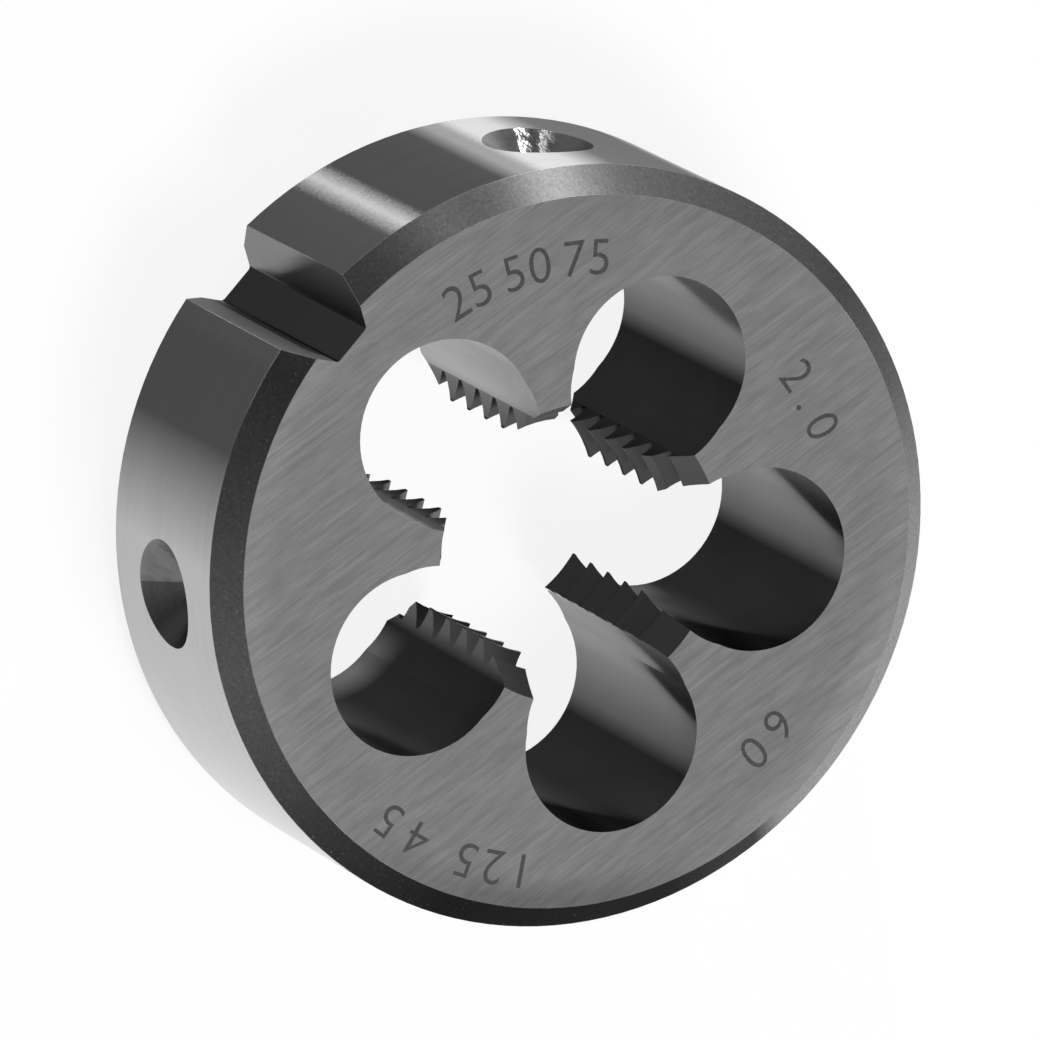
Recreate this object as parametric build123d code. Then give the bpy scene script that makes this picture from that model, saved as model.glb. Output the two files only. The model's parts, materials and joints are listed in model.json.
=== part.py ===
from build123d import *
import math
import os

# Round threading die, one piece of hardened high speed steel.
# It cuts a right-hand screw thread. Millimetres and degrees throughout.
# The origin is the middle of the plain back face, +Z leaves the marked face,
# and +X points at the clamping slot.

# Body
die_diameter = 38.0
die_thickness = 14.0
rim_chamfer = 1.25

# Thread that the die cuts
thread_diameter = 14.0
thread_pitch = 2.0
thread_flank_angle = 30.0
root_clearance = 0.05
flank_clearance = 0.1
thread_start_height = 0.68
# Parts of the sharp thread's height from the outside to the pitch line and to the crests
pitch_share = 3 / 8
crest_share = 2 / 3
# A groove piece runs a little inside the crests, and over this part of a land's spacing each way
groove_overlap = 0.1
groove_share = 0.36

# Lead cones, the longer one at the marked face where the work enters
lead_mouth_diameter = 14.9
marked_lead_angle = 26.0
back_lead_angle = 32.0

# Chip holes and the cutting lands between them
chip_hole_count = 5
chip_hole_diameter = 9.2
chip_hole_circle_diameter = 19.5
# Smaller bore in the same place, nearer the middle, that hollows both flanks of each land
hook_bore_diameter = 8.75
hook_bore_circle_diameter = 17.8

# Clamping slot in the rim, in line with one chip hole
slot_floor_width = 2.1
slot_depth = 2.35
slot_wall_angle = 30.0
slot_corner_radius = 0.25

# Conical dimples for the screws of the die holder
dimple_diameter = 5.8
dimple_cone_angle = 45.0
dimple_angles = (-131.0, -49.0, 49.0, 131.0)

# How far a cutting shape runs past the metal that it cuts
overrun = 1.0

# Sizes that follow from the ones above
die_radius = die_diameter / 2
sharp_height = thread_pitch / 2 / math.tan(math.radians(thread_flank_angle))
pitch_radius = thread_diameter / 2 - pitch_share * sharp_height + flank_clearance
crest_radius = thread_diameter / 2 - crest_share * sharp_height
root_radius = thread_diameter / 2 + root_clearance
land_spacing = 360.0 / chip_hole_count
slot_floor_radius = die_radius - slot_depth
# Half angle of one groove piece, so that both its ends lie in the open chip holes
groove_reach = groove_share * land_spacing


def body_blank():
    """Turned disc with the same chamfer on both rims."""
    disc = Cylinder(die_radius, die_thickness, align=(Align.CENTER, Align.CENTER, Align.MIN))
    rims = disc.edges().filter_by(GeomType.CIRCLE)
    return chamfer(rims, rim_chamfer)


def through_cut(profile):
    """Straight cut of a flat profile through both faces."""
    return extrude(Pos(0, 0, -overrun) * profile, die_thickness + 2 * overrun)


def chip_hole():
    """Chip hole on the X axis: the drilled bore and the hook bore that opens it to the middle."""
    bore = Pos(chip_hole_circle_diameter / 2, 0) * Circle(chip_hole_diameter / 2)
    hook_bore = Pos(hook_bore_circle_diameter / 2, 0) * Circle(hook_bore_diameter / 2)
    return through_cut(bore + hook_bore)


def lead_cone(angle):
    """Cone that opens the thread at the back face, from the tooth crests out to the mouth."""
    slope = math.tan(math.radians(angle))
    mouth = lead_mouth_diameter / 2
    depth = (mouth - crest_radius) / slope
    return Pos(0, 0, -overrun) * Cone(
        mouth + overrun * slope,
        crest_radius,
        depth + overrun,
        align=(Align.CENTER, Align.CENTER, Align.MIN),
    )


def groove_piece():
    """Short piece of the helical thread groove, centred on the X axis at height zero."""
    slope = math.tan(math.radians(thread_flank_angle))
    inner_radius = crest_radius - groove_overlap
    inner_half = thread_pitch / 4 + (pitch_radius - inner_radius) * slope
    root_half = thread_pitch / 4 - (root_radius - pitch_radius) * slope
    section = make_face(
        Polyline(
            (inner_radius, 0, -inner_half),
            (root_radius, 0, -root_half),
            (root_radius, 0, root_half),
            (inner_radius, 0, inner_half),
            close=True,
        )
    )
    rise = thread_pitch * groove_reach / 360
    path = Helix(thread_pitch, 2 * rise, root_radius)
    piece = sweep(section, path=path, is_frenet=True)
    return Rot(0, 0, -groove_reach) * Pos(0, 0, -rise) * piece


def thread_grooves():
    """The thread as it crosses each land, with one turn more than the thickness at each end."""
    piece = groove_piece()
    turns = math.ceil(die_thickness / thread_pitch) + 2
    grooves = []
    for number in range(chip_hole_count):
        angle = land_spacing * (number + 0.5)
        lowest = (thread_start_height + thread_pitch * angle / 360) % thread_pitch - thread_pitch
        for turn in range(turns):
            grooves.append(Pos(0, 0, lowest + turn * thread_pitch) * Rot(0, 0, angle) * piece)
    return grooves


def clamping_slot():
    """Slot on +X with a flat floor, rounded corners and walls that lean outward."""
    height = slot_depth + overrun
    half_floor = slot_floor_width / 2
    half_top = half_floor + height * math.tan(math.radians(slot_wall_angle))
    outer = slot_floor_radius + height
    section = make_face(
        Polyline(
            (slot_floor_radius, -half_floor),
            (outer, -half_top),
            (outer, half_top),
            (slot_floor_radius, half_floor),
            close=True,
        )
    )
    corners = section.vertices().sort_by(Axis.X)[:2]
    return through_cut(fillet(corners, slot_corner_radius))


def dimple():
    """Countersink on +X, pointed at its bottom, half way up the rim."""
    mouth = dimple_diameter / 2
    slope = math.tan(math.radians(dimple_cone_angle))
    depth = mouth / slope
    cone = Cone(
        0,
        mouth + overrun * slope,
        depth + overrun,
        align=(Align.CENTER, Align.CENTER, Align.MIN),
    )
    return Pos(die_radius - depth, 0, die_thickness / 2) * Rot(0, 90, 0) * cone


def build_die():
    """The whole die, cut from the blank in the order in which it is made."""
    die = body_blank()
    die -= [Rot(0, 0, land_spacing * number) * chip_hole() for number in range(chip_hole_count)]
    die -= through_cut(Circle(crest_radius))
    die -= thread_grooves()
    die -= lead_cone(back_lead_angle)
    die -= Pos(0, 0, die_thickness) * Rot(180, 0, 0) * lead_cone(marked_lead_angle)
    die -= clamping_slot()
    die -= [Rot(0, 0, angle) * dimple() for angle in dimple_angles]
    return die


os.makedirs("parts", exist_ok=True)
export_step(build_die(), "parts/threading_die.step")
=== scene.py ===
import json
import math
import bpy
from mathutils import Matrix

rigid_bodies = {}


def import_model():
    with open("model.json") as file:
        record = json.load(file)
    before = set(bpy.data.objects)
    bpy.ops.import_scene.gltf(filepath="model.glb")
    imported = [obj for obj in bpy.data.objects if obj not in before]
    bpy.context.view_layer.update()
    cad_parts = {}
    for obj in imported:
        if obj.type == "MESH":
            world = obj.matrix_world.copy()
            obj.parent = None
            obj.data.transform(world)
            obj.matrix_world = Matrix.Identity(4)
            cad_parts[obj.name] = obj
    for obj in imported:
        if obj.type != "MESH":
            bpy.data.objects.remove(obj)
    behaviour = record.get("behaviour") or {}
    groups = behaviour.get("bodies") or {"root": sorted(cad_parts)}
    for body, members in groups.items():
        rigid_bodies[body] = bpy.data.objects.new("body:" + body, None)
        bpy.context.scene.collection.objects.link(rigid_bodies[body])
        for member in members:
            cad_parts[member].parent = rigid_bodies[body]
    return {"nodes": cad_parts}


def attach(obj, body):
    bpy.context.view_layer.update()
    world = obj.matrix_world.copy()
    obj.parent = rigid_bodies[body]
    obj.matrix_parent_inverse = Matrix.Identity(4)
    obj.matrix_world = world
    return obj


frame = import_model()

from types import SimpleNamespace

import bmesh
import bpy
from mathutils import Euler, Matrix, Vector

# Round threading die of hardened steel, lying on its plain back face.
# Metres. The marked face is on top, and the clamping slot is on +X.
# Azimuths are degrees round the die from +X. A wall's facing azimuth is that of the way it faces.

MM = 0.001

# Sizes of the die that its finishes follow
DIE_RADIUS = 19.0 * MM
DIE_THICKNESS = 14.0 * MM
RIM_CHAMFER = 1.25 * MM
SLOT_FLOOR_RADIUS = 16.65 * MM
DIMPLE_RADIUS = 2.9 * MM
DIMPLE_POINT_RADIUS = 16.1 * MM
# Outer reach of the tooth crests, the thread, the lead cones and the chip holes
CRESTS_REACH = 5.95 * MM
THREAD_REACH = 7.1 * MM
LEAD_REACH = 8.0 * MM
HOLES_REACH = 15.0 * MM
# Leeway of a surface about its place
LEEWAY = 0.02 * MM

# Limits on how level a surface is, from 0 on the walls to 1 on the faces
LEVEL_FACES = 0.95
LEVEL_SHADE_DULLING = 0.9
LEVEL_LEAD = (0.3, 0.65)
LEVEL_CHAMFERS = 0.4
LEVEL_CRESTS = 0.2
LEVEL_WALLS = 0.05

# Chip holes by their place: behind the slot, to the left of it, and on the other side of the die
SLOT_HOLE_X = 5.5 * MM
LEFT_HOLE_X = -1.8 * MM
LEFT_HOLE_Y = 4.7 * MM
RIGHT_HOLES_Y = -1.1 * MM
# Degrees by which the shade goes further round in the nearer and in the further hole of the other side
RIGHT_HOLE_TURN = 13.0
FAR_HOLE_TURN = 8.0
# How high the painted lighter foot of the hole walls goes
WALL_FOOT = 3.2 * MM

# Direction of the grinding lines on the faces, turned from +X
GRINDING_ANGLE = math.radians(75.0)
# Width and length of the tool lines, and the depth of the relief
FACE_LINES = (0.12 * MM, 6.0 * MM)
FACE_STREAKS = (0.42 * MM, 2.4 * MM)
RIM_LINES = (0.1 * MM, 5.0 * MM)
RELIEF_DEPTH = 0.0015 * MM
# Size of the fine grain, the pits and the broad clouds of the steel, and of the grain of the etching
GRAIN = 0.16 * MM
PITS = 0.7 * MM
CLOUDS = 4.0 * MM
ETCHING_GRAIN = 0.12 * MM
# Width of the worn, brighter line along the sharp edges, partly wear and partly a painted glint
EDGE_WEAR_AND_GLINT = 0.07 * MM
# How far highlights spread across the tool lines
LINE_SPREAD = 0.88

# Greys that each finish varies between
GROUND_FACE = (0.59, 0.735)
GROUND_RIM = (0.53, 0.62)
# Painted shade of the slot's cloudy wall, with its own mottle
CLOUDY_SLOT_WALL = (0.11, 0.15)
LASER_MARK = (0.035, 0.06)
# Plain greys of the smaller spots
FACE_FLECKS = 0.25
CHAMFER_FLECKS = 0.4
LEAD_CONES = 0.1
# Painted light on the foot of the holes' dark walls
PAINTED_FOOT_LIGHT = 0.2
# Painted light on one flank in the holes behind the slot
PAINTED_FLANK_LIGHT = 0.34
# Painted lighter grey of the slot's other wall
PLAIN_SLOT_WALL = 0.22
# Painted shade of the slot's floor
SLOT_FLOOR = 0.045
# Grey of the worn edges, partly a painted glint
WORN_AND_GLINT_EDGE = 0.7

# The tables down to the figures are shade that was fitted to the photo's view. It is painted on
# the die, so it stays in place in other views and under other light.

# Painted dark bands of shade across the rim: azimuths, softness of the ends, grey. The ragged ones
# have uneven ends, and the dull one reflects less at a grazing angle too.
DULL_BAND = (-70, -50.5, 3, 3)
RAGGED_BANDS = ((-39.8, -20.9, 1.5, 0.045), (-17.4, 14, 1.5, 0.07))
SOFT_BANDS = ((10, 33, 1, 9, 0.06), (*DULL_BAND, 0.2), (-41, -36.8, 1.5, 1.5, 0.3))
# Facing azimuths of the dark side in the holes and dimples, and softness of its ends
DARK_SIDE = (-66, 20, 6)

# Shade of the chamfers round the die: azimuth and grey
CHAMFER_SHADE = (
    (-180, 0.38), (-150, 0.30), (-132, 0.20), (-114, 0.09), (-96, 0.06), (-76, 0.12), (-60, 0.20),
    (-40, 0.24), (-30, 0.14), (-20, 0.08), (-10, 0.08), (10, 0.045), (40, 0.075), (56, 0.075), (84, 0.03),
    (112, 0.006), (150, 0.005), (166, 0.05), (171, 0.34), (180, 0.38),
)
# Shade of the walls of the chip holes: facing azimuth and grey
WALL_SHADE = (
    (-180, 0.13), (-82, 0.13), (-72, 0.1), (-62, 0.09), (-44, 0.08), (-30, 0.055), (0, 0.035), (14, 0.032),
    (26, 0.07), (34, 0.095), (44, 0.12), (56, 0.13), (64, 0.18), (76, 0.24), (180, 0.24),
)
# The same for the cut teeth
TEETH_SHADE = (
    (-180, 0.22), (-80, 0.22), (-60, 0.09), (14, 0.08), (34, 0.11), (70, 0.15), (110, 0.17), (180, 0.22),
)
# Part of the bright grazing reflection of bare steel that is left on the painted dark sides
SHADE_EDGE_SHINE = 0.37
# Shade of the outer ring of the faces: azimuth and half the factor on their grey
FACE_EDGE = (
    (-180, 0.64), (-160, 0.66), (-146, 0.57), (-120, 0.53), (-60, 0.47), (-20, 0.5), (10, 0.57), (70, 0.57),
    (90, 0.5), (108, 0.4), (122, 0.33), (138, 0.34), (150, 0.44), (160, 0.54), (172, 0.62), (180, 0.64),
)
FACE_EDGE_START = 16.1 * MM
FACE_EDGE_FULL = 17.3 * MM

# Plain figures on the face: figures, azimuth of the first and the last one, radius of their middle, height
FIGURES = (
    ("25", -19.6, -25.0, 14.75, 1.9),
    ("50", -32.3, -37.7, 14.75, 1.9),
    ("75", -44.8, -50.2, 14.75, 1.9),
    ("2.0", -102.5, -115.0, 14.0, 1.85),
    ("60", -178.6, -185.8, 14.6, 1.85),
    ("125", 122.6, 111.4, 16.0, 1.85),
    ("45", 101.0, 94.3, 16.0, 1.85),
)
FIGURE_PROUD = 0.006 * MM
# Height of a figure and thinning of its strokes, as shares of the type's size
FIGURE_SHARE = 0.73
FIGURE_THINNING = 0.007

# Long lens that looks down on the marked face with the slot at the upper left: place, turn in degrees, lens
CAMERA_PLACE = (0.310229, 0.068078, 0.599344)
CAMERA_TURN = (-14.3119, -24.5584, -136.0743)
CAMERA_LENS = 475.97
CAMERA_SENSOR = 36.0
CAMERA_REACH = (0.05, 20.0)

# Soft boxes: name, azimuth, elevation, distance, width, height, and the share of plain daylight
# that each puts on a sheet that faces it
SOFT_BOXES = (
    ("soft_box_below", 150, 65, 0.8, 0.24, 0.24, 0.74),
    ("strip_right", -66, 12, 0.7, 0.045, 0.2, 0.31),
    ("strip_top", -38, 16, 0.7, 0.012, 0.2, 0.19),
)
ROOM_GREY = 0.30
FLOOR_GREY = 0.95
FLOOR_RADIUS = 3.0
# Share of plain white in the floor where the camera or the metal sees it, the rest is lit by the lamps
FLOOR_WHITE = 0.88


def add(tree, kind, inputs=None, **settings):
    """One shader node with its options set and its sockets filled or linked."""
    node = tree.nodes.new(kind)
    for name, value in settings.items():
        setattr(node, name, value)
    for key, value in (inputs or {}).items():
        if isinstance(value, bpy.types.NodeSocket):
            tree.links.new(value, node.inputs[key])
        else:
            node.inputs[key].default_value = value
    return node


def calc(tree, operation, *values):
    """One Math node's result."""
    return add(tree, "ShaderNodeMath", dict(enumerate(values)), operation=operation).outputs[0]


def step(tree, value, low, high):
    """Soft step from 0 at low to 1 at high."""
    node = add(tree, "ShaderNodeMapRange", {"Value": value, "From Min": low, "From Max": high})
    return node.outputs["Result"]


def above(tree, value, limit):
    """1 where the value is above the limit."""
    return calc(tree, "GREATER_THAN", value, limit)


def below(tree, value, limit):
    """1 where the value is below the limit."""
    return calc(tree, "LESS_THAN", value, limit)


def all_of(tree, *masks):
    """Product of masks."""
    result = masks[0]
    for mask in masks[1:]:
        result = calc(tree, "MULTIPLY", result, mask)
    return result


def any_of(tree, *masks):
    """Highest of the masks."""
    result = masks[0]
    for mask in masks[1:]:
        result = calc(tree, "MAXIMUM", result, mask)
    return result


def arc(tree, azimuth, start, end, soft, soft_end=None):
    """1 between two azimuths, with soft ends."""
    if soft_end is None:
        soft_end = soft
    return all_of(
        tree,
        step(tree, azimuth, start - soft, start + soft),
        step(tree, azimuth, end + soft_end, end - soft_end),
    )


def grey(level, blue=1.0):
    """Grey of one level, with a little more blue where that is above 1."""
    return (level, level, level * blue, 1)


def mix_value(tree, mask, first, second):
    """First value where the mask is 0, second where it is 1."""
    inputs = {0: mask, 2: first, 3: second}
    return add(tree, "ShaderNodeMix", inputs, data_type="FLOAT").outputs[0]


def blend(tree, mask, first, second):
    """First colour where the mask is 0, second where it is 1. A number stands for the cool grey of steel."""
    inputs = {0: mask, 6: first, 7: second}
    for key in (6, 7):
        if not isinstance(inputs[key], bpy.types.NodeSocket):
            inputs[key] = grey(inputs[key], blue=1.01)
    return add(tree, "ShaderNodeMix", inputs, data_type="RGBA").outputs[2]


def times(tree, colour, factor):
    """Colour times a value."""
    inputs = {0: colour, "Scale": factor}
    return add(tree, "ShaderNodeVectorMath", inputs, operation="SCALE").outputs[0]


def round_the_die(tree, azimuth, stops):
    """Grey that changes with the azimuth, from pairs of azimuth and grey."""
    node = add(tree, "ShaderNodeValToRGB", {0: step(tree, azimuth, -180, 180)})
    marks = node.color_ramp.elements
    for number, (angle, level) in enumerate(stops):
        place = (angle + 180) / 360
        mark = marks[number] if number < 2 else marks.new(place)
        mark.position = place
        mark.color = grey(level)
    return node.outputs[0]


def parts(tree, vector):
    """X, Y and Z of a vector."""
    return add(tree, "ShaderNodeSeparateXYZ", {0: vector}).outputs


def off_axis(tree, x, y):
    """Distance from the die's axis."""
    flat = add(tree, "ShaderNodeCombineXYZ", {0: x, 1: y}).outputs[0]
    return add(tree, "ShaderNodeVectorMath", {0: flat}, operation="LENGTH").outputs["Value"]


def off_middle(tree, z):
    """Distance from half the die's thickness, up or down."""
    return calc(tree, "ABSOLUTE", calc(tree, "SUBTRACT", z, DIE_THICKNESS / 2))


def noise(tree, vector, size, detail=3.0):
    """Noise of one size."""
    inputs = {"Vector": vector, "Scale": 1 / size, "Detail": detail}
    return add(tree, "ShaderNodeTexNoise", inputs).outputs[0]


def new_group(name, ins, outs):
    """Empty shader node group with named sockets, its input node and its output node."""
    group = bpy.data.node_groups.new(name, "ShaderNodeTree")
    for socket, kind in ins:
        group.interface.new_socket(socket, in_out="INPUT", socket_type=kind)
    for socket, kind in outs:
        group.interface.new_socket(socket, in_out="OUTPUT", socket_type=kind)
    return group, group.nodes.new("NodeGroupInput"), group.nodes.new("NodeGroupOutput")


def new_material(name):
    """Material with one Principled shader, and its node tree, shader and output node."""
    material = bpy.data.materials.new(name)
    material.use_nodes = True
    tree = material.node_tree
    tree.nodes.clear()
    shader = add(tree, "ShaderNodeBsdfPrincipled")
    output = add(tree, "ShaderNodeOutputMaterial", {"Surface": shader.outputs[0]})
    return material, tree, shader, output


def clear_starter_objects():
    """Blender's own starter objects go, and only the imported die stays."""
    for thing in list(bpy.data.objects):
        if thing.type in {"CAMERA", "LIGHT"} or thing.name == "Cube":
            bpy.data.objects.remove(thing)


def make_camera():
    """The camera, without depth of field."""
    camera = bpy.data.objects.new("camera", bpy.data.cameras.new("camera"))
    camera.data.lens = CAMERA_LENS
    camera.data.sensor_width = CAMERA_SENSOR
    camera.data.clip_start, camera.data.clip_end = CAMERA_REACH
    camera.location = CAMERA_PLACE
    camera.rotation_euler = Euler([math.radians(a) for a in CAMERA_TURN])
    bpy.context.scene.collection.objects.link(camera)
    bpy.context.scene.camera = camera


def make_zones():
    """Group that tells the die's surfaces apart by their place and by how they face."""
    names = ("Face", "Chamfer", "Rim", "Slot", "Dimple", "Teeth")
    group, _, outs = new_group("die_zones", (), [(name, "NodeSocketFloat") for name in names])
    spot = add(group, "ShaderNodeTexCoord").outputs
    x, y, z = parts(group, spot["Object"])
    level = calc(group, "ABSOLUTE", parts(group, spot["Normal"])[2])
    radius = off_axis(group, x, y)
    from_middle = off_middle(group, z)
    faces = above(group, level, LEVEL_FACES)
    walls = below(group, level, LEVEL_WALLS)
    zones = {
        "Face": (faces, above(group, from_middle, DIE_THICKNESS / 2 - LEEWAY)),
        "Chamfer": (
            below(group, level, LEVEL_FACES),
            above(group, level, LEVEL_CHAMFERS),
            above(group, radius, DIE_RADIUS - RIM_CHAMFER - 0.05 * MM),
            above(group, from_middle, DIE_THICKNESS / 2 - RIM_CHAMFER - LEEWAY),
        ),
        "Rim": (walls, above(group, radius, DIE_RADIUS - LEEWAY)),
        "Slot": (
            walls,
            above(group, x, SLOT_FLOOR_RADIUS - 0.1 * MM),
            below(group, radius, DIE_RADIUS - LEEWAY),
        ),
        "Dimple": (
            above(group, radius, DIMPLE_POINT_RADIUS - 0.1 * MM),
            below(group, radius, DIE_RADIUS - 0.01 * MM),
            below(group, from_middle, DIMPLE_RADIUS + 0.05 * MM),
            below(group, x, SLOT_FLOOR_RADIUS - 0.2 * MM),
        ),
        "Teeth": (below(group, radius, THREAD_REACH), below(group, faces, 0.5)),
    }
    for name, masks in zones.items():
        group.links.new(all_of(group, *masks), outs.inputs[name])
    return group


def make_grinding():
    """Group of fine scratches that run along X of the vector given, packed along Y."""
    group, ins, outs = new_group(
        "grinding_lines",
        (("Vector", "NodeSocketVector"), ("Across", "NodeSocketFloat"), ("Along", "NodeSocketFloat")),
        (("Lines", "NodeSocketFloat"), ("Bands", "NodeSocketFloat")),
    )
    x, y, z = parts(group, ins.outputs["Vector"])
    along = calc(group, "MULTIPLY", x, ins.outputs["Along"])
    across = calc(group, "MULTIPLY", y, ins.outputs["Across"])
    spot = add(group, "ShaderNodeCombineXYZ", {0: along, 1: across, 2: z}).outputs[0]
    fine = {"Vector": spot, "Scale": 1.0, "Detail": 3.0, "Roughness": 0.6}
    wide = {"Vector": spot, "Scale": 0.13, "Detail": 1.0, "Roughness": 0.5}
    group.links.new(add(group, "ShaderNodeTexNoise", fine).outputs[0], outs.inputs["Lines"])
    group.links.new(add(group, "ShaderNodeTexNoise", wide).outputs[0], outs.inputs["Bands"])
    return group


def tool_lines(tree, grinding, vector, size):
    """Tool lines of one width and length along the vector's X."""
    width, length = size
    inputs = {"Vector": vector, "Across": 1 / width, "Along": 1 / length}
    return add(tree, "ShaderNodeGroup", inputs, node_tree=grinding).outputs


def survey(tree):
    """Places, directions, grain and tool lines that the steel's finishes are made from."""
    at = SimpleNamespace()
    spot = add(tree, "ShaderNodeTexCoord").outputs
    at.x, y, at.z = parts(tree, spot["Object"])
    facing_x, facing_y, facing_z = parts(tree, spot["Normal"])
    angle = calc(tree, "ARCTAN2", y, at.x)
    at.azimuth = calc(tree, "DEGREES", angle)
    at.facing = calc(tree, "DEGREES", calc(tree, "ARCTAN2", facing_y, facing_x))
    at.level = calc(tree, "ABSOLUTE", facing_z)
    at.radius = off_axis(tree, at.x, y)
    at.from_middle = off_middle(tree, at.z)

    at.zones = add(tree, "ShaderNodeGroup", node_tree=make_zones()).outputs
    low, high = LEVEL_LEAD
    at.lead = all_of(
        tree, above(tree, at.level, low), below(tree, at.level, high), below(tree, at.radius, LEAD_REACH)
    )
    at.slot_floor = arc(tree, at.facing, -50, 50, 5)
    at.left_hole = all_of(tree, above(tree, at.x, LEFT_HOLE_X), above(tree, y, LEFT_HOLE_Y))
    right_holes = all_of(tree, below(tree, y, RIGHT_HOLES_Y), arc(tree, at.facing, 0, 70, 15))
    further = mix_value(tree, above(tree, at.x, LEFT_HOLE_X), FAR_HOLE_TURN, RIGHT_HOLE_TURN)
    at.hole_facing = calc(tree, "SUBTRACT", at.facing, calc(tree, "MULTIPLY", right_holes, further))

    at.grain = noise(tree, spot["Object"], GRAIN)
    at.pits = noise(tree, spot["Object"], PITS)
    at.clouds = noise(tree, spot["Object"], CLOUDS)
    at.flecks = step(tree, at.grain, 0.68, 0.78)
    at.mottle = mix_value(tree, at.clouds, 0.85, 1.15)

    grinding = make_grinding()
    turn = {"Vector": spot["Object"], "Rotation": (0, 0, -GRINDING_ANGLE)}
    turned = add(tree, "ShaderNodeMapping", turn).outputs[0]
    round_the_rim = {0: calc(tree, "MULTIPLY", angle, DIE_RADIUS), 1: at.z}
    rolled = add(tree, "ShaderNodeCombineXYZ", round_the_rim).outputs[0]
    at.face_lines = tool_lines(tree, grinding, turned, FACE_LINES)
    at.face_streaks = tool_lines(tree, grinding, turned, FACE_STREAKS)
    at.rim_lines = tool_lines(tree, grinding, rolled, RIM_LINES)
    return at


def ground_face(tree, at):
    """Fine diagonal lines, softer streaks and a few dark flecks, and painted shade on the outer ring."""
    colour = blend(tree, step(tree, at.face_lines["Lines"], 0.3, 0.7), *GROUND_FACE)
    streaks = step(tree, at.face_streaks["Lines"], 0.35, 0.65)
    colour = times(tree, colour, mix_value(tree, streaks, 0.9, 1.1))
    shade = calc(tree, "MULTIPLY", round_the_die(tree, at.azimuth, FACE_EDGE), 2.0)
    ring = step(tree, at.radius, FACE_EDGE_START, FACE_EDGE_FULL)
    colour = times(tree, colour, mix_value(tree, ring, 1.0, shade))
    return blend(tree, all_of(tree, at.flecks, 0.3), colour, FACE_FLECKS)


def ground_rim(tree, at):
    """Lines that run round the rim, and painted dark bands of shade across it."""
    colour = blend(tree, step(tree, at.rim_lines["Lines"], 0.3, 0.7), *GROUND_RIM)
    uneven = calc(tree, "MULTIPLY", calc(tree, "SUBTRACT", at.grain, 0.5), 2.0)
    ragged = calc(tree, "ADD", at.azimuth, uneven)
    for *band, level in RAGGED_BANDS:
        colour = blend(tree, arc(tree, ragged, *band), colour, level)
    for *band, level in SOFT_BANDS:
        colour = blend(tree, arc(tree, at.azimuth, *band), colour, level)
    return colour


def chamfer_shade(tree, at):
    """Painted shade that changes round the die, over grain with light flecks."""
    colour = round_the_die(tree, at.azimuth, CHAMFER_SHADE)
    colour = times(tree, colour, mix_value(tree, step(tree, at.grain, 0.3, 0.7), 0.82, 1.18))
    return blend(tree, all_of(tree, at.flecks, 0.35), colour, CHAMFER_FLECKS)


def hole_shade(tree, at):
    """Painted shade of the chip holes by the way their walls face, with a painted lighter foot and one
    painted bright flank.
    """
    colour = times(tree, round_the_die(tree, at.hole_facing, WALL_SHADE), at.mottle)
    left = all_of(tree, at.left_hole, arc(tree, at.facing, -70, 0, 14))
    sides = any_of(tree, arc(tree, at.facing, -76, -42, 5), left)
    # Painted light low on the dark side of the walls
    foot = all_of(tree, step(tree, at.z, WALL_FOOT, 0.25 * WALL_FOOT), sides)
    colour = blend(tree, foot, colour, PAINTED_FOOT_LIGHT)
    # Painted light on one flank of the holes behind the slot
    flank = all_of(tree, above(tree, at.x, SLOT_HOLE_X), arc(tree, at.facing, 52, 100, 6))
    return blend(tree, flank, colour, PAINTED_FLANK_LIGHT)


def teeth_shade(tree, at):
    """Painted shade of the cut teeth by the way they face, halved on their crests and other steep faces."""
    colour = times(tree, round_the_die(tree, at.facing, TEETH_SHADE), at.mottle)
    return times(tree, colour, mix_value(tree, below(tree, at.level, LEVEL_CRESTS), 1.0, 0.5))


def slot_shade(tree, at):
    """Painted shade of the slot: a darker cloudy wall on one side, a lighter plain wall on the other, a dark
    floor between them.
    """
    walls = blend(tree, at.clouds, *CLOUDY_SLOT_WALL)
    walls = blend(tree, below(tree, at.facing, 0), walls, PLAIN_SLOT_WALL)
    return blend(tree, at.slot_floor, walls, SLOT_FLOOR)


def dimple_shade(tree, at, holes):
    """The chip holes' painted shade, painted lighter on the side of each dimple that faces a negative
    azimuth.
    """
    other_side = mix_value(tree, step(tree, at.facing, 50, 85), 1.3, 0.6)
    return times(tree, holes, mix_value(tree, below(tree, at.facing, 0), other_side, 2.4))


def worn_and_glinting_edges(tree, at):
    """Sharp outer edges, worn here and there and painted lighter as glints."""
    rounded = add(tree, "ShaderNodeBevel", {"Radius": EDGE_WEAR_AND_GLINT}, samples=4).outputs[0]
    sharp = add(tree, "ShaderNodeNewGeometry").outputs["True Normal"]
    fit = add(tree, "ShaderNodeVectorMath", {0: rounded, 1: sharp}, operation="DOT_PRODUCT").outputs["Value"]
    patches = step(tree, at.clouds, 0.35, 0.65)
    return all_of(tree, step(tree, fit, 0.99, 0.93), patches, above(tree, at.radius, LEAD_REACH), 0.8)


def steel_colour(tree, at):
    """Every surface's own finish and painted shade, and the worn edges with painted glints over them."""
    holes = hole_shade(tree, at)
    colour = blend(tree, at.zones["Teeth"], holes, teeth_shade(tree, at))
    colour = blend(tree, at.lead, colour, LEAD_CONES)
    colour = blend(tree, at.zones["Face"], colour, ground_face(tree, at))
    colour = blend(tree, at.zones["Rim"], colour, ground_rim(tree, at))
    colour = blend(tree, at.zones["Chamfer"], colour, chamfer_shade(tree, at))
    colour = blend(tree, at.zones["Slot"], colour, slot_shade(tree, at))
    colour = blend(tree, at.zones["Dimple"], colour, dimple_shade(tree, at, holes))
    return blend(tree, worn_and_glinting_edges(tree, at), colour, WORN_AND_GLINT_EDGE)


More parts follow.
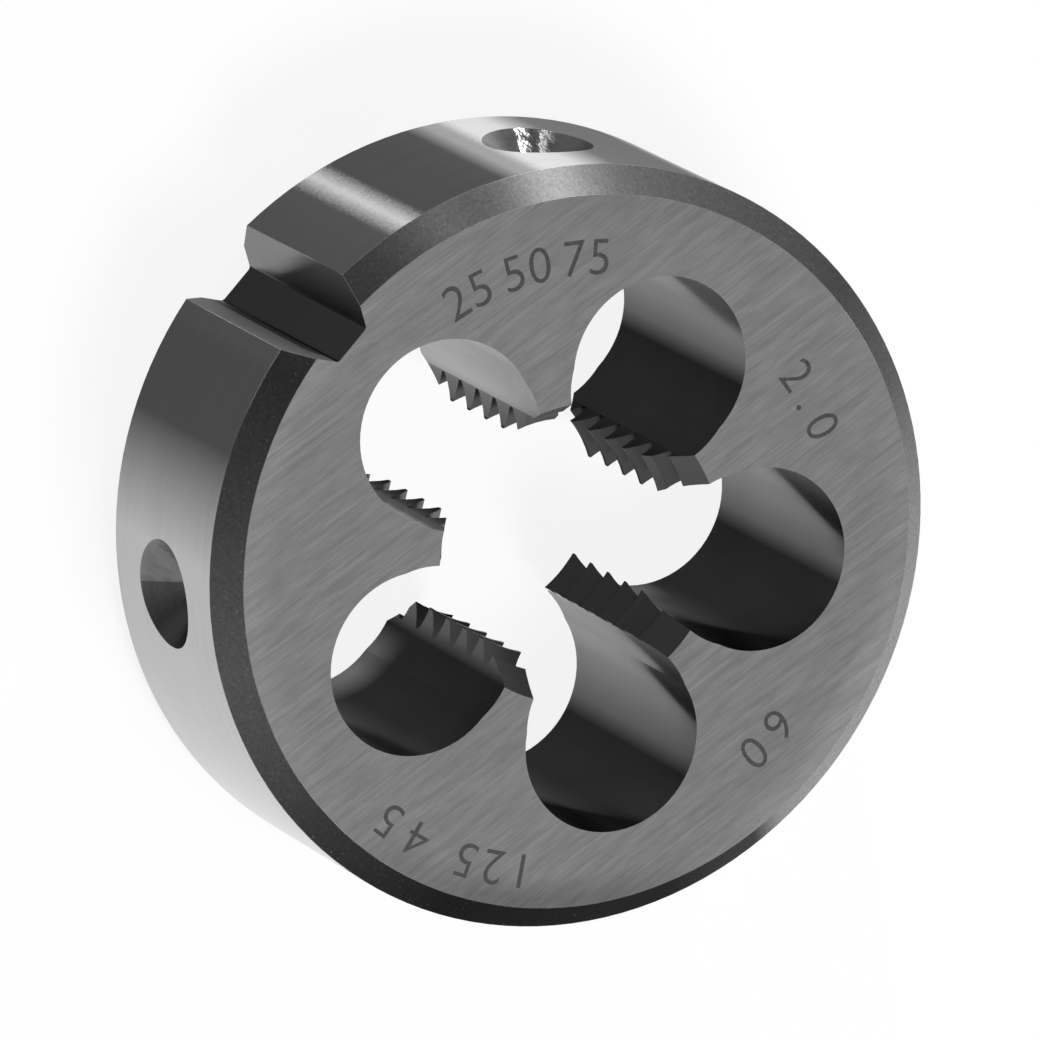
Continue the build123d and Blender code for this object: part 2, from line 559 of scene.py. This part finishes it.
def steel_roughness(tree, at):
    """Smooth ground faces and holes, duller rim, chamfers and lead cones."""
    round_from_slot = calc(tree, "ABSOLUTE", at.facing)
    grooves = all_of(
        tree, above(tree, at.level, LEVEL_CRESTS), arc(tree, round_from_slot, 105, 175, 5)
    )
    rough = mix_value(tree, step(tree, round_from_slot, 50, 80), 0.16, 0.3)
    for mask, value in (
        (at.zones["Face"], mix_value(tree, at.face_lines["Bands"], 0.12, 0.14)),
        (at.zones["Rim"], mix_value(tree, at.rim_lines["Bands"], 0.36, 0.42)),
        (at.zones["Teeth"], mix_value(tree, grooves, 0.14, 0.45)),
        (at.zones["Chamfer"], 0.5),
        (at.zones["Slot"], mix_value(tree, below(tree, at.facing, -55), 0.2, 0.7)),
        (at.lead, 0.5),
        (at.zones["Dimple"], mix_value(tree, at.clouds, 0.15, 0.45)),
    ):
        rough = mix_value(tree, mask, rough, value)
    return rough


def steel_relief(tree, at):
    """Tool lines on the faces and the rim, grain on the chamfers, coarse pits in the dimples."""
    height = 0.5
    for zone, relief in (
        ("Face", at.face_lines["Lines"]),
        ("Rim", at.rim_lines["Lines"]),
        ("Chamfer", calc(tree, "MULTIPLY", at.grain, 2.0)),
        ("Dimple", calc(tree, "MULTIPLY", at.pits, 40.0)),
    ):
        height = mix_value(tree, at.zones[zone], height, relief)
    inputs = {"Height": height, "Strength": 1.0, "Distance": RELIEF_DEPTH}
    return add(tree, "ShaderNodeBump", inputs).outputs[0]


def line_direction(tree, at):
    """Way that highlights spread: up and down on the walls, over the grinding lines on the faces."""
    over_lines = (-math.sin(GRINDING_ANGLE), math.cos(GRINDING_ANGLE), 0)
    inputs = {0: above(tree, at.level, LEVEL_FACES), 4: (0, 0, 1), 5: over_lines}
    return add(tree, "ShaderNodeMix", inputs, data_type="VECTOR").outputs[1]


def shade_dulling(tree, at):
    """Where grazing reflections are dulled with the painted shade: dark sides of holes and dimples, slot
    floor, crests.
    """
    holes = all_of(
        tree, below(tree, at.radius, HOLES_REACH), arc(tree, at.hole_facing, *DARK_SIDE)
    )
    slot = all_of(
        tree,
        at.slot_floor,
        above(tree, at.x, HOLES_REACH),
        below(tree, at.radius, DIE_RADIUS - 0.1 * MM),
    )
    dimples = all_of(
        tree,
        above(tree, at.radius, HOLES_REACH),
        below(tree, at.radius, DIE_RADIUS - LEEWAY),
        below(tree, at.x, SLOT_FLOOR_RADIUS - 0.5 * MM),
        below(tree, at.from_middle, DIMPLE_RADIUS + 0.05 * MM),
        arc(tree, at.facing, *DARK_SIDE),
    )
    rim = all_of(
        tree, arc(tree, at.azimuth, *DULL_BAND), above(tree, at.radius, DIE_RADIUS - LEEWAY), 0.6
    )
    crests = all_of(
        tree, below(tree, at.radius, CRESTS_REACH), below(tree, at.level, LEVEL_CRESTS)
    )
    skin = any_of(tree, holes, slot, dimples, rim, crests)
    return all_of(tree, skin, below(tree, at.level, LEVEL_SHADE_DULLING))


def steel():
    """Hardened steel: ground faces and rim, painted dark shade on chamfers, slot, dimples and holes."""
    material, tree, shader, _ = new_material("ground_steel")
    at = survey(tree)
    tree.links.new(steel_colour(tree, at), shader.inputs["Base Color"])
    tree.links.new(steel_roughness(tree, at), shader.inputs["Roughness"])
    tree.links.new(steel_relief(tree, at), shader.inputs["Normal"])
    tree.links.new(line_direction(tree, at), shader.inputs["Tangent"])
    edge_shine = mix_value(tree, shade_dulling(tree, at), 1.0, SHADE_EDGE_SHINE)
    tree.links.new(edge_shine, shader.inputs["Specular Tint"])
    shader.inputs["Metallic"].default_value = 1.0
    shader.inputs["Anisotropic"].default_value = LINE_SPREAD
    return material


def etching():
    """Dull dark mark of a marking laser, with the steel showing through a little."""
    material, tree, shader, _ = new_material("laser_etching")
    spot = add(tree, "ShaderNodeTexCoord").outputs["Object"]
    grain = noise(tree, spot, ETCHING_GRAIN, detail=2.0)
    colour = blend(tree, step(tree, grain, 0.35, 0.65), *LASER_MARK)
    tree.links.new(colour, shader.inputs["Base Color"])
    tree.links.new(mix_value(tree, grain, 0.45, 0.65), shader.inputs["Roughness"])
    shader.inputs["Specular IOR Level"].default_value = 0.2
    return material


def figure(letter, azimuth, radius, height):
    """One flat figure on the marked face, its top outwards."""
    curve = bpy.data.curves.new(letter, "FONT")
    curve.body = letter
    curve.align_x = "CENTER"
    curve.size = height / FIGURE_SHARE
    curve.extrude = 2 * FIGURE_PROUD
    curve.offset = -FIGURE_THINNING * curve.size
    curve.resolution_u = 6
    text = bpy.data.objects.new(letter, curve)
    bpy.context.scene.collection.objects.link(text)
    mesh = bmesh.new()
    mesh.from_mesh(bpy.data.meshes.new_from_object(text))
    bpy.data.objects.remove(text)
    place = (0, radius - height / 2, DIE_THICKNESS - FIGURE_PROUD)
    turn = Matrix.Rotation(math.radians(azimuth) - math.pi / 2, 3, "Z")
    bmesh.ops.translate(mesh, vec=place, verts=mesh.verts)
    bmesh.ops.rotate(mesh, cent=(0, 0, 0), matrix=turn, verts=mesh.verts)
    return mesh


def make_figures():
    """All the figures as one thin piece."""
    whole = bpy.data.meshes.new("face_figures")
    joined = bmesh.new()
    for letters, first, last, radius, height in FIGURES:
        for number, letter in enumerate(letters):
            azimuth = first + (last - first) * number / (len(letters) - 1)
            part = figure(letter, azimuth, radius * MM, height * MM)
            part.to_mesh(whole)
            part.free()
            joined.from_mesh(whole)
    bmesh.ops.remove_doubles(joined, verts=joined.verts, dist=0.0001 * MM)
    bmesh.ops.recalc_face_normals(joined, faces=joined.faces)
    joined.to_mesh(whole)
    joined.free()
    piece = bpy.data.objects.new("face_figures", whole)
    bpy.context.scene.collection.objects.link(piece)
    whole.materials.clear()
    whole.materials.append(etching())
    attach(piece, "root")


def make_floor():
    """Plain pale floor, white to the camera and in the metal, with the die's soft shadow."""
    mesh = bmesh.new()
    bmesh.ops.create_circle(mesh, cap_ends=True, segments=96, radius=FLOOR_RADIUS)
    data = bpy.data.meshes.new("floor")
    mesh.to_mesh(data)
    mesh.free()
    floor = bpy.data.objects.new("floor", data)
    bpy.context.scene.collection.objects.link(floor)
    material, tree, shader, output = new_material("pale_floor")
    shader.inputs["Base Color"].default_value = grey(FLOOR_GREY)
    shader.inputs["Roughness"].default_value = 0.9
    shader.inputs["Specular IOR Level"].default_value = 0.0
    path = add(tree, "ShaderNodeLightPath").outputs
    seen = any_of(tree, path["Is Camera Ray"], path["Is Glossy Ray"], path["Is Transmission Ray"])
    white = add(tree, "ShaderNodeEmission", {"Color": grey(1.0), "Strength": 1.0}).outputs[0]
    share = calc(tree, "MULTIPLY", seen, FLOOR_WHITE)
    mixed = add(tree, "ShaderNodeMixShader", {0: share, 1: shader.outputs[0], 2: white}).outputs[0]
    tree.links.new(mixed, output.inputs["Surface"])
    data.materials.append(material)


def make_room():
    """Plain even room round the die."""
    world = bpy.data.worlds.new("studio")
    bpy.context.scene.world = world
    world.use_nodes = True
    tree = world.node_tree
    tree.nodes.clear()
    background = add(tree, "ShaderNodeBackground", {"Color": grey(1.0), "Strength": ROOM_GREY})
    add(tree, "ShaderNodeOutputWorld", {"Surface": background.outputs[0]})


def soft_box(name, azimuth, elevation, distance, width, height, level):
    """Soft box in one direction from the marked face, turned to the face."""
    light = bpy.data.lights.new(name, "AREA")
    light.shape = "RECTANGLE"
    light.size = width
    light.size_y = height
    light.energy = level * math.pi ** 2 * distance ** 2
    lamp = bpy.data.objects.new(name, light)
    a, e = math.radians(azimuth), math.radians(elevation)
    back = Vector((math.cos(a) * math.cos(e), math.sin(a) * math.cos(e), math.sin(e)))
    lamp.location = back * distance + Vector((0, 0, DIE_THICKNESS))
    lamp.rotation_euler = back.to_track_quat("Z", "Y").to_euler()
    bpy.context.scene.collection.objects.link(lamp)


clear_starter_objects()
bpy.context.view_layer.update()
die = frame["nodes"]["threading_die"]
die.material_slots[0].material = steel()
make_camera()
make_figures()
make_floor()
make_room()
for box in SOFT_BOXES:
    soft_box(*box)
bpy.context.scene.view_settings.view_transform = "Standard"
